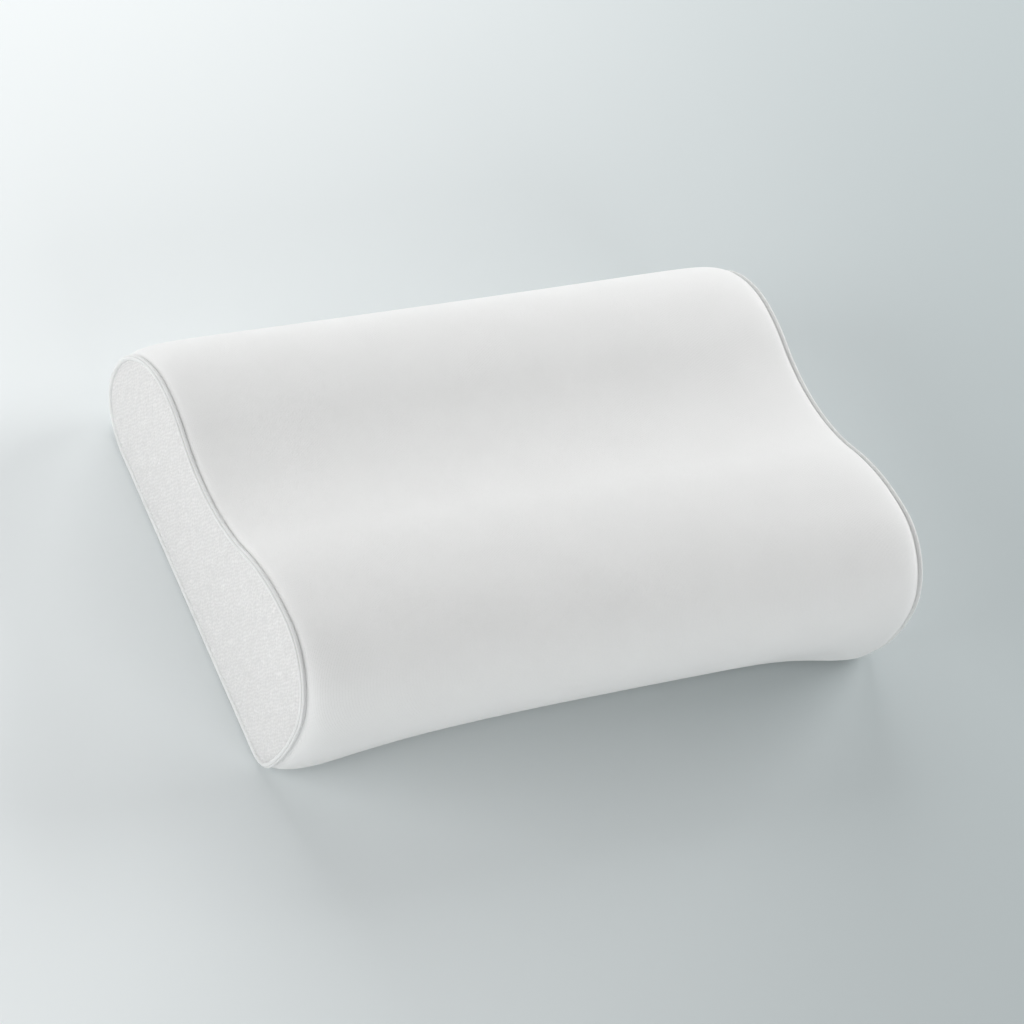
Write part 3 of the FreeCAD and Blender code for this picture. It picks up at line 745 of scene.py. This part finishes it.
air_mesh = mesh_finish()
SIDES = (("left", -1), ("right", 1))
for side, way in SIDES:
    end = mesh_end("mesh_end_" + side, way)
    air_mesh.give(end)
    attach(end, "pillow")
    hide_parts("cover_end_" + side)
    print(end.name, len(end.data.polygons), "faces")

# %% [markdown]
# ## The piping
# A strip of cloth is folded round a cord and sewn between the panel and the mesh end, so it stands out
# as a thin double line: two soft lobes with the stitched fold between them.

# %% Piping sleeves
PIPING_STEP = 0.8 * MM
PIPING_SIDES = 22
PIPING_ROUND = 2.2 * MM
SLEEVE_WALL = 0.5 * MM
GROOVE_DEPTH = 0.7 * MM
GROOVE_HALF_ANGLE = 0.34
STITCH_PITCH = 3.2 * MM
STITCH_DIMPLE = 0.12 * MM
# How much the colour darkens along the stitched fold: painted shade in its groove.
PAINTED_FOLD_SHADE = 0.9


def piping(name, way):
    """A closed sleeve round the end seam, grooved along its outer corner."""
    count = int(GIRTH / PIPING_STEP)
    s = np.arange(count) * GIRTH / count
    phi = np.arange(PIPING_SIDES) * 2 * math.pi / PIPING_SIDES
    s_grid, phi_grid = np.meshgrid(s, phi, indexing="ij")
    groove = np.exp(-(np.angle(np.exp(1j * phi_grid)) / GROOVE_HALF_ANGLE) ** 2)
    stitch = STITCH_DIMPLE * np.cos(2 * math.pi * s_grid / STITCH_PITCH)
    radius = PIPING_ROUND - groove * (GROOVE_DEPTH + stitch)
    out = radius * np.cos(phi_grid + math.pi / 4) - PIPING_RADIUS
    x = way * (SEAM_X + radius * np.sin(phi_grid + math.pi / 4))
    points = np.concatenate([x[..., None], on_outline(s_grid, out)], axis=-1).reshape(-1, 3)
    faces = []
    for i in range(count):
        j = (i + 1) % count
        for k in range(PIPING_SIDES):
            m = (k + 1) % PIPING_SIDES
            ring = [i * PIPING_SIDES + k, i * PIPING_SIDES + m, j * PIPING_SIDES + m, j * PIPING_SIDES + k]
            faces.append(ring[::-1] if way > 0 else ring)
    uvs = np.stack([s_grid.ravel(), (phi_grid * PIPING_ROUND).ravel()], axis=1)
    piece = mesh_from(name, points, faces, uvs)
    apply_modifier(piece, "SOLIDIFY", thickness=SLEEVE_WALL, offset=-1)
    smooth(piece, 70)
    return piece


def piping_finish(name, dark, light, pitch):
    """A bias weave of fine threads, with painted shade along the groove of the stitched fold."""
    finish = Finish(name, 0.85, sheen=0.2)
    cloth = finish.place("UV")
    u, v, _ = finish.axes(cloth)
    one = finish.math("ADD", u, v)
    two = finish.math("SUBTRACT", v, u)
    warp = finish.math("SINE", finish.math("MULTIPLY", one, 2 * math.pi / pitch))
    weft = finish.math("SINE", finish.math("MULTIPLY", two, 2 * math.pi / pitch))
    fuzz = finish.noise(cloth, 1 / (1.2 * MM), 3.0)
    # Painted shade: the colour darkens along the groove of the stitched fold.
    facing = finish.math("COSINE", finish.math("DIVIDE", v, PIPING_ROUND))
    painted_fold_mask = finish.add("ShaderNodeMapRange", Value=facing)
    painted_fold_mask.inputs["From Min"].default_value = math.cos(GROOVE_HALF_ANGLE)
    painted_fold_brightness = finish.math("SUBTRACT", 1.0, finish.math("MULTIPLY", painted_fold_mask.outputs[0], PAINTED_FOLD_SHADE))
    tone = finish.math("ADD", finish.math("MULTIPLY", fuzz, 0.3), finish.math("MULTIPLY", painted_fold_brightness, 0.7))
    finish.colour(tone, dark, light)
    finish.raise_by(finish.math("MULTIPLY", warp, weft), 0.06 * MM)
    finish.raise_by(fuzz, 0.1 * MM, 0.5)
    return finish


piping_fabric = piping_finish("piping_fabric", (0.58, 0.595, 0.59), (0.89, 0.895, 0.89), 0.5 * MM)
for side, way in SIDES:
    sleeve = piping("piping_" + side, way)
    piping_fabric.give(sleeve)
    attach(sleeve, "pillow")
    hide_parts("piping_sleeve_" + side)

# %% [markdown]
# ## The foam core and its liner
# Inside the cover is the moulded foam, in a thin jersey liner of its own. Neither shows while the
# cover is closed, but both are real pieces. They follow the same outline, further in, and take the
# same drawn-in front edge as the panel over them.

# %% Layers inside the cover
EDGE_ROUND = 4 * MM


def layer(name, inset, end, rounding=0.0):
    """A tube inside the cover, its ends at +-end, with the edges of its ends rounded."""
    x = x_lines * end / PANEL_END
    s, x = np.meshgrid(s_lines, x, indexing="ij")
    from_end = end - np.abs(x)
    out = proud(x, s) - inset - rounding * np.exp(-from_end / max(rounding, MM))
    points = np.concatenate([x[..., None], on_outline(s, out)], axis=-1).reshape(-1, 3)
    uvs = np.stack([x.ravel(), s.ravel()], axis=1)
    return mesh_from(name, shape_layer(points, panel_low.z + inset), tube_faces(), uvs)


def close_ends(piece):
    """Fill both open ends of a tube."""
    edit_open_edges(piece)
    bpy.ops.mesh.edge_face_add()
    bpy.ops.mesh.select_all(action="SELECT")
    bpy.ops.mesh.normals_make_consistent(inside=False)
    bpy.ops.object.mode_set(mode="OBJECT")


def inset_of(node):
    """How far a CAD node's top lies inside the cover's top."""
    return panel_high.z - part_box(node)[1].z


foam = layer("foam", inset_of("foam_core"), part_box("foam_core")[1].x, EDGE_ROUND)
close_ends(foam)
smooth(foam, 50)


def foam_finish():
    """Slow-recovery foam: cream, matt, with fine open cells and a few larger pores."""
    finish = Finish("foam", 0.95)
    solid = finish.place("Object")
    cells = finish.add("ShaderNodeTexVoronoi", Vector=solid, Scale=1 / (1.6 * MM)).outputs["Distance"]
    pores = finish.add("ShaderNodeTexVoronoi", Vector=solid, Scale=1 / (9 * MM)).outputs["Distance"]
    patch = finish.noise(solid, 1 / (60 * MM), 2.0)
    tone = finish.math("ADD", finish.math("MULTIPLY", cells, 0.4), finish.math("MULTIPLY", patch, 0.6))
    finish.colour(tone, (0.78, 0.72, 0.56), (0.88, 0.84, 0.70))
    finish.raise_by(cells, 0.3 * MM)
    finish.raise_by(finish.math("MINIMUM", pores, 0.15), 0.6 * MM, 0.7)
    return finish


foam_finish().give(foam)
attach(foam, "pillow")
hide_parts("foam_core")
print(foam.name, len(foam.data.polygons), "faces")

# %% The liner's tube and ends
LINER_THICKNESS = 0.5 * MM
liner_jersey = knit_finish("liner_jersey", (0.74, 0.74, 0.72), (0.82, 0.82, 0.80),
                           wale=0.8 * MM, course=0.6 * MM, depth=0.06 * MM)
liner_inset = inset_of("liner_wrap")
liner = layer("liner_tube", liner_inset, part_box("liner_wrap")[1].x)
apply_modifier(liner, "SOLIDIFY", thickness=LINER_THICKNESS, offset=-1)
smooth(liner, 50)
liner_jersey.give(liner)
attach(liner, "pillow")
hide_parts("liner_wrap")

for side, way in SIDES:
    low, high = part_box("liner_end_" + side)
    outer_x = high.x if way > 0 else low.x
    yz = on_outline(np.arange(ROWS) * GIRTH / ROWS, -inset_of("liner_end_" + side))
    points = np.concatenate([np.full((ROWS, 1), outer_x), yz], axis=1)
    face = tuple(range(ROWS))
    liner_end = mesh_from("liner_cap_" + side, points, [face if way > 0 else face[::-1]], yz)
    apply_modifier(liner_end, "SOLIDIFY", thickness=LINER_THICKNESS, offset=-1)
    smooth(liner_end, 50)
    liner_jersey.give(liner_end)
    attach(liner_end, "pillow")
    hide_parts("liner_end_" + side)

# %% [markdown]
# ## Cords and threads
# The piping's filler cord and the seam's thread are thin round strands, and the CAD shape is right for
# both. They only need a fibrous finish.


# %% Strand finishes
def strand_finish(name, dark, light, fibre, depth):
    """Twisted cotton or polyester: fine fibres over a slow change of tone."""
    finish = Finish(name, 0.8, sheen=0.2)
    solid = finish.place("Object")
    x, y, z = finish.axes(solid)
    along = finish.math("ADD", finish.math("ADD", y, z), finish.math("MULTIPLY", x, 1.7))
    twist = finish.math("SINE", finish.math("MULTIPLY", along, 2 * math.pi / fibre))
    fuzz = finish.noise(solid, 2 / fibre, 3.0)
    finish.colour(fuzz, dark, light)
    finish.raise_by(twist, depth)
    finish.raise_by(fuzz, depth, 0.5)
    return finish


filler_cord = strand_finish("filler_cord", (0.72, 0.69, 0.60), (0.84, 0.81, 0.73), 1.8 * MM, 0.2 * MM)
sewing_thread = strand_finish("sewing_thread", (0.72, 0.73, 0.73), (0.82, 0.83, 0.83), 0.5 * MM, 0.04 * MM)
for side, way in SIDES:
    filler_cord.give(nodes["piping_cord_" + side])
    sewing_thread.give(nodes["seam_thread_" + side])

# %% [markdown]
# ## The zip
# Along the tail, behind, is a spiral zip. Each side is a row of small nylon loops sewn to a woven tape.
# One loop is modelled and repeated along the tape, and the loops of one side sit between those of
# the other. The stitches that hold the tapes are one small spindle, repeated along the surface.


# %% Repeat a small shape
def repeated(name, shape, places):
    """One piece from many copies of a small shape, each at its own place and turn."""
    points = coordinates(shape)
    corners = [list(face.vertices) for face in shape.data.polygons]
    rows, faces = [], []
    for number, matrix in enumerate(places):
        move = np.array(matrix)
        rows.append(points @ move[:3, :3].T + move[:3, 3])
        faces += [[corner + number * len(points) for corner in face] for face in corners]
    piece = mesh_from(name, np.vstack(rows), faces)
    bpy.data.objects.remove(shape)
    smooth(piece, 60)
    return piece


# %% The coils
COIL_PITCH = 1.3 * MM
COIL_WIRE = 0.31 * MM
COIL_REACH_OVER = 0.3 * MM
COIL_LEAN = math.radians(9)


def coil_side(name, node, up):
    """One side of the zip: loops from beside the middle out over the tape, up being 1 or -1."""
    low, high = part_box(node)
    loop_high = (high.z - low.z + COIL_REACH_OVER) / 2
    loop_deep = (high.y - low.y) / 2
    middle = Vector((0, (low.y + high.y) / 2, (low.z + high.z - up * COIL_REACH_OVER) / 2))
    bpy.ops.mesh.primitive_torus_add(major_segments=10, minor_segments=5, major_radius=1,
                                     minor_radius=COIL_WIRE, rotation=(0, math.pi / 2, 0))
    loop = bpy.context.object
    bpy.ops.object.transform_apply(location=False, rotation=True, scale=False)
    points = coordinates(loop)
    ring = np.hypot(points[:, 1], points[:, 2])
    lift = (ring - 1) / np.maximum(ring, 1e-9)
    for axis, half in ((1, loop_deep), (2, loop_high)):
        unit = points[:, axis] / ring
        points[:, axis] = unit * (half - COIL_WIRE) + points[:, axis] * lift
    points[:, 0] += points[:, 2] * math.tan(COIL_LEAN) * up
    set_coordinates(loop, points)
    start = low.x + COIL_WIRE + (COIL_PITCH / 2 if up > 0 else 0)
    count = int((high.x - COIL_WIRE - start) / COIL_PITCH)
    places = [Matrix.Translation(middle + Vector((start + i * COIL_PITCH, 0, 0))) for i in range(count)]
    piece = repeated(name, loop, places)
    print("%s: %d loops, %d faces" % (name, count, len(piece.data.polygons)))
    return piece


def nylon_finish():
    """Drawn nylon: smooth, with faint streaks in its tone and surface."""
    finish = Finish("zip_coil", 0.4)
    solid = finish.place("Object")
    streak = finish.noise(solid, 1 / (2 * MM), 3.0)
    finish.colour(streak, (0.76, 0.77, 0.77), (0.86, 0.87, 0.87))
    finish.raise_by(streak, 0.03 * MM)
    return finish


zip_coil = nylon_finish()
for part, up in (("upper", 1), ("lower", -1)):
    coil = coil_side("zip_loops_" + part, "zip_coil_" + part, up)
    zip_coil.give(coil)
    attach(coil, "pillow")
    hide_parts("zip_coil_" + part)

# %% The tapes
TAPE_INSET = 2.1 * MM
TAPE_THICKNESS = 0.5 * MM
TAPE_NEAR = 0.8 * MM
TAPE_FAR = 13.3 * MM
TAPE_STEP = 3 * MM
RIB_PITCH = 1.2 * MM


def tape_strip(name, up):
    """A flat woven strip under the edge of the panel, up being 1 above the zip and -1 below."""
    x = spread(-ZIP_REACH, ZIP_REACH, TAPE_STEP)
    s = spread(TAPE_NEAR, TAPE_FAR, TAPE_STEP / 2)
    s_grid, x_grid = np.meshgrid(s, x, indexing="ij")
    yz = on_outline(up * s_grid, -TAPE_INSET)
    points = np.concatenate([x_grid[..., None], yz], axis=-1).reshape(-1, 3)
    faces = []
    for i in range(len(s) - 1):
        for j in range(len(x) - 1):
            a = i * len(x) + j
            face = (a, a + len(x), a + len(x) + 1, a + 1)
            faces.append(face if up > 0 else face[::-1])
    piece = mesh_from(name, points, faces, np.stack([x_grid.ravel(), s_grid.ravel()], axis=1))
    apply_modifier(piece, "SOLIDIFY", thickness=TAPE_THICKNESS, offset=-1)
    smooth(piece, 40)
    return piece


def tape_finish():
    """Woven tape: lengthwise ribs with a fine cross weave."""
    finish = Finish("zip_tape", 0.75, sheen=0.15)
    cloth = finish.place("UV")
    u, v, _ = finish.axes(cloth)
    rib = finish.math("SINE", finish.math("MULTIPLY", v, 2 * math.pi / RIB_PITCH))
    cross = finish.math("SINE", finish.math("MULTIPLY", u, 4 * math.pi / RIB_PITCH))
    fuzz = finish.noise(cloth, 1 / (1.5 * MM), 3.0)
    finish.colour(fuzz, (0.73, 0.74, 0.74), (0.82, 0.83, 0.83))
    finish.raise_by(finish.math("ADD", rib, finish.math("MULTIPLY", cross, 0.5)), 0.08 * MM)
    return finish


zip_tape = tape_finish()
for part, up in (("upper", 1), ("lower", -1)):
    tape = tape_strip("zip_strip_" + part, up)
    zip_tape.give(tape)
    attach(tape, "pillow")
    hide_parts("zip_tape_" + part)

# %% The stitches along the zip
STITCH_LONG = 2.7 * MM
STITCH_GAP = 0.5 * MM
THREAD_RADIUS = 0.22 * MM
STITCH_LIFT = THREAD_RADIUS / 3
STITCH_SIDES = 6
BEHIND = 30 * MM
panel_surface = BVHTree.FromObject(panel, bpy.context.evaluated_depsgraph_get())


def stitch_shape(length, radius):
    """A spindle that lies along X."""
    bpy.ops.mesh.primitive_uv_sphere_add(segments=STITCH_SIDES, ring_count=STITCH_SIDES, radius=1,
                                         rotation=(0, math.pi / 2, 0))
    shape = bpy.context.object
    shape.scale = (radius, radius, length / 2)
    bpy.ops.object.transform_apply(location=False, rotation=True, scale=True)
    return shape


def lie_on(x, z, turn, lift):
    """The place of a stitch that lies on the panel behind, turned in its plane."""
    behind = Vector((x, tail_y + BEHIND, z))
    point, normal, _, _ = panel_surface.ray_cast(behind, Vector((0, -1, 0)))
    along = Vector((math.cos(turn), 0, math.sin(turn)))
    along = (along - normal * along.dot(normal)).normalized()
    matrix = Matrix((along, normal.cross(along), normal)).transposed().to_4x4()
    matrix.translation = point + normal * lift
    return matrix


for part in ("upper", "lower"):
    node = "zip_topstitch_" + part
    low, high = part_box(node)
    pitch = STITCH_LONG + STITCH_GAP
    count = int((high.x - low.x) / pitch)
    places = [lie_on(low.x + (i + 0.5) * pitch, (low.z + high.z) / 2, 0, STITCH_LIFT)
              for i in range(count)]
    row = repeated("stitches_" + part, stitch_shape(STITCH_LONG, THREAD_RADIUS), places)
    sewing_thread.give(row)
    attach(row, "pillow")
    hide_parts(node)
    print("%s: %d stitches" % (row.name, count))

# %% The bar tacks at the zip's ends
TACK_STITCHES = 18
TACK_LIFT = THREAD_RADIUS / 2
TACK_RADIUS = THREAD_RADIUS * 1.3
for side, way in SIDES:
    node = "zip_bartack_" + side
    low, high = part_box(node)
    step = (high.z - low.z) / TACK_STITCHES
    lean = math.atan2(step, high.x - low.x)
    places = [lie_on((low.x + high.x) / 2, low.z + (i + 0.5) * step, lean * (-1) ** i, TACK_LIFT)
              for i in range(TACK_STITCHES)]
    tack = repeated("bar_tack_" + side, stitch_shape(high.x - low.x, TACK_RADIUS), places)
    sewing_thread.give(tack)
    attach(tack, "pillow")
    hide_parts(node)


# %% Slider, pull tab and stops
def metal_finish():
    """Cast zinc with a satin plating: slightly uneven gloss, faint tumbling marks."""
    finish = Finish("zip_metal", 0.32)
    finish.shader.inputs["Metallic"].default_value = 1.0
    solid = finish.place("Object")
    tumble = finish.noise(solid, 1 / (1.2 * MM), 4.0)
    finish.colour(tumble, (0.62, 0.62, 0.61), (0.76, 0.76, 0.75))
    gloss = finish.math("ADD", finish.math("MULTIPLY", tumble, 0.25), 0.2)
    finish.tree.links.new(gloss, finish.shader.inputs["Roughness"])
    finish.raise_by(tumble, 0.02 * MM)
    return finish


zip_metal = metal_finish()
zip_metal.give(*(nodes[name] for name in (
    "zip_top_stop_upper", "zip_top_stop_lower", "zip_bottom_stop", "zip_slider_body", "zip_pull_tab")))

# %% [markdown]
# ## The care label
# A small satin label is caught in the seam below the zip and hangs free. It is left blank.

# %% A hanging label
label_low, label_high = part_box("care_label")
LABEL_THICKNESS = 0.3 * MM
LABEL_CURL = 0.5 * MM
LABEL_STEPS = 14


def hanging_label():
    """A strip that starts flat on the panel and hangs straight, with a slight curl at its free end."""
    wide, tall = label_high.x - label_low.x, label_high.z - label_low.z
    bpy.ops.mesh.primitive_grid_add(x_subdivisions=LABEL_STEPS, y_subdivisions=LABEL_STEPS, size=1)
    piece = bpy.context.object
    piece.name = "blank_label"
    points = coordinates(piece)
    across, down = points[:, 0], 0.5 - points[:, 1]
    x = (label_low.x + label_high.x) / 2 + across * wide
    z = label_high.z - down * tall
    y = label_high.y + LABEL_CURL * down ** 3 * (1 + 0.6 * np.cos(2 * math.pi * across + 1))
    set_coordinates(piece, np.stack([x, y, z], axis=1))
    pick(piece)
    bpy.ops.object.mode_set(mode="EDIT")
    bpy.ops.mesh.select_all(action="SELECT")
    bpy.ops.mesh.flip_normals()
    bpy.ops.object.mode_set(mode="OBJECT")
    apply_modifier(piece, "SOLIDIFY", thickness=LABEL_THICKNESS, offset=-1)
    smooth(piece, 40)
    return piece


def satin_finish():
    """Woven satin: smooth, with a soft lengthwise gleam and fine threads."""
    finish = Finish("label_satin", 0.42, sheen=0.1)
    solid = finish.place("Object")
    x, y, z = finish.axes(solid)
    threads = finish.math("SINE", finish.math("MULTIPLY", x, 2 * math.pi / (0.25 * MM)))
    fuzz = finish.noise(solid, 1 / (1.5 * MM), 3.0)
    finish.colour(fuzz, (0.78, 0.78, 0.77), (0.86, 0.86, 0.85))
    finish.raise_by(threads, 0.02 * MM)
    return finish


label = hanging_label()
satin_finish().give(label)
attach(label, "pillow")
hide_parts("care_label")
print("label: %.0f by %.0f mm" % ((label_high.x - label_low.x) / MM, (label_high.z - label_low.z) / MM))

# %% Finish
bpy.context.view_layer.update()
